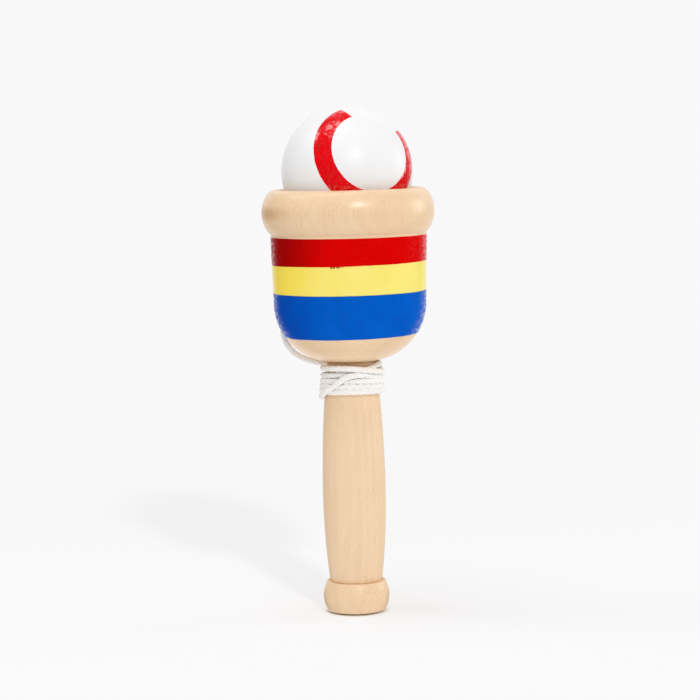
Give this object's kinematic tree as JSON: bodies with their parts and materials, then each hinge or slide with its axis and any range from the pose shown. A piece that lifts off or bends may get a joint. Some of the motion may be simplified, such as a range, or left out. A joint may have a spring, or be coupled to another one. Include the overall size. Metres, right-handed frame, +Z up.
{
  "type": "cup and ball toy",
  "caption": "Turned wooden cup on a swelling handle, with painted bands, and a drilled ball on a cotton cord that sits in the cup's tapered hollow.",
  "frame": {"origin": "centre of the flat underside of the handle's foot knob, on the surface that the toy stands on", "axes": "+Z up the handle to the cup and ball, -Y to the front, +X to the right seen from the front"},
  "size_m": [0.0526, 0.0526, 0.155],
  "materials": {
    "beech": "sanded and waxed beech",
    "red_paint": "gloss enamel",
    "yellow_paint": "gloss enamel",
    "blue_paint": "gloss enamel",
    "cotton_cord": "twisted undyed cotton",
    "white_ball": "white gloss enamel on wood",
    "ring_paint": "printed gloss enamel"
  },
  "bodies": {
    "handle": {"handle": "beech", "cup": "beech", "red_band": "red_paint", "yellow_band": "yellow_paint", "blue_band": "blue_paint", "cord_winding": "cotton_cord", "cord_lead": "cotton_cord", "cord_anchor": "cotton_cord"},
    "tether": {"ball_cord": "cotton_cord", "ball_knot": "cotton_cord"},
    "ball": {"ball": "white_ball", "ball_ring": "ring_paint"}
  },
  "joints": [
    {"name": "ball_lift", "type": "slide", "parent": "handle", "child": "tether", "axis": [0, 0, 1], "range_m": [0, 0.045], "deforming": ["cord_lead"]},
    {"name": "ball_spin", "type": "hinge", "parent": "tether", "child": "ball", "pos_m": [0, 0, 0.135], "axis": [-0.366, 0.7849, 0.5], "continuous": true}
  ]
}
